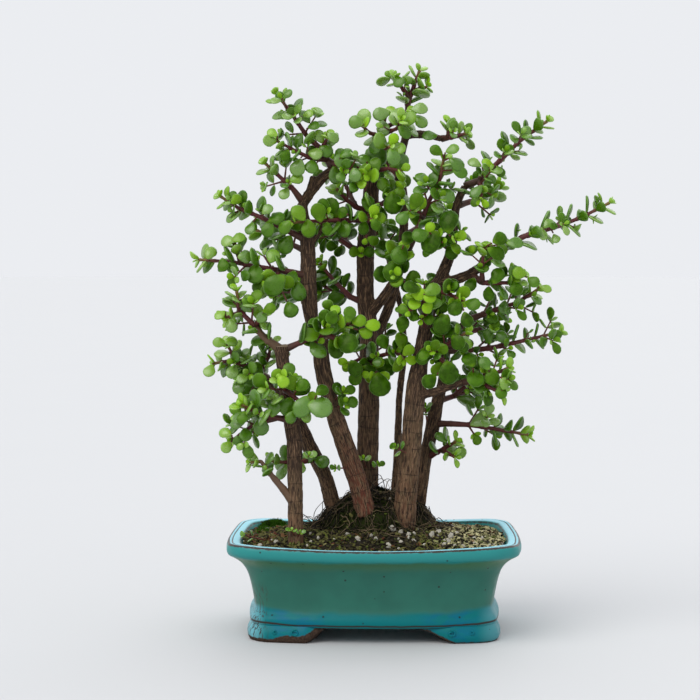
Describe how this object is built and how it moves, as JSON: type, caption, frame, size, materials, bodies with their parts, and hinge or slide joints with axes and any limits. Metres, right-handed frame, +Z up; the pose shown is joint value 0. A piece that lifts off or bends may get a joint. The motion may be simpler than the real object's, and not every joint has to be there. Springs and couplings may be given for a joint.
{
  "type": "dwarf jade forest bonsai",
  "caption": "Forest-style dwarf jade bonsai: slender trunks with small round leaves in a glazed rectangular tray on cloud feet.",
  "frame": {"origin": "on the surface the four feet stand on, under the middle of the whole forest's bounding box", "axes": "+Z up, +X to the right along the tray's long side, +Y away from the front"},
  "size_m": [0.3858, 0.219, 0.5183],
  "materials": {
    "glaze": "teal green gloss glaze, breaking brown on the edges",
    "screen_plastic": "matte black mesh",
    "soil_mix": "gritty mix of baked clay, pumice and humus",
    "moss": "dark moss with dry rootlets",
    "bark": "rough grey brown bark",
    "foliage": "fleshy satin leaves on red brown twigs"
  },
  "bodies": {
    "root": {"drain_screen_left": "screen_plastic", "drain_screen_right": "screen_plastic", "moss_mound": "moss", "moss_patch": "moss", "soil": "soil_mix", "spray_apex": "foliage", "spray_back_crown": "foliage", "spray_back_high": "foliage", "spray_back_high_right": "foliage", "spray_back_left": "foliage", "spray_back_left_high": "foliage", "spray_back_left_low": "foliage", "spray_back_left_mid": "foliage", "spray_back_right": "foliage", "spray_back_right_high": "foliage", "spray_back_right_low": "foliage", "spray_back_right_mid": "foliage", "spray_bright_front": "foliage", "spray_centre_low": "foliage", "spray_centre_tall": "foliage", "spray_cross": "foliage", "spray_crown": "foliage", "spray_crown_low": "foliage", "spray_front_left_low": "foliage", "spray_front_right": "foliage", "spray_inner_front": "foliage", "spray_inner_left": "foliage", "spray_inner_left_high": "foliage", "spray_inner_left_top": "foliage", "spray_inner_right": "foliage", "spray_inner_right_low": "foliage", "spray_inner_top": "foliage", "spray_left_foot": "foliage", "spray_left_high": "foliage", "spray_left_long": "foliage", "spray_left_mid": "foliage", "spray_left_rear_low": "foliage", "spray_left_upper": "foliage", "spray_right_arm": "foliage", "spray_right_foot": "foliage", "spray_right_foot_inner": "foliage", "spray_right_front_low": "foliage", "spray_right_long": "foliage", "spray_right_low_arm": "foliage", "spray_right_mid": "foliage", "spray_right_top": "foliage", "spray_stump_front": "foliage", "spray_stump_left": "foliage", "spray_stump_right": "foliage", "spray_top_left": "foliage", "spray_top_right": "foliage", "tray": "glaze", "trunk_centre": "bark", "trunk_front_left": "bark", "trunk_left_main": "bark", "trunk_rear_left": "bark", "trunk_rear_thin": "bark", "trunk_right_front": "bark", "trunk_right_rear": "bark"}
  },
  "joints": []
}
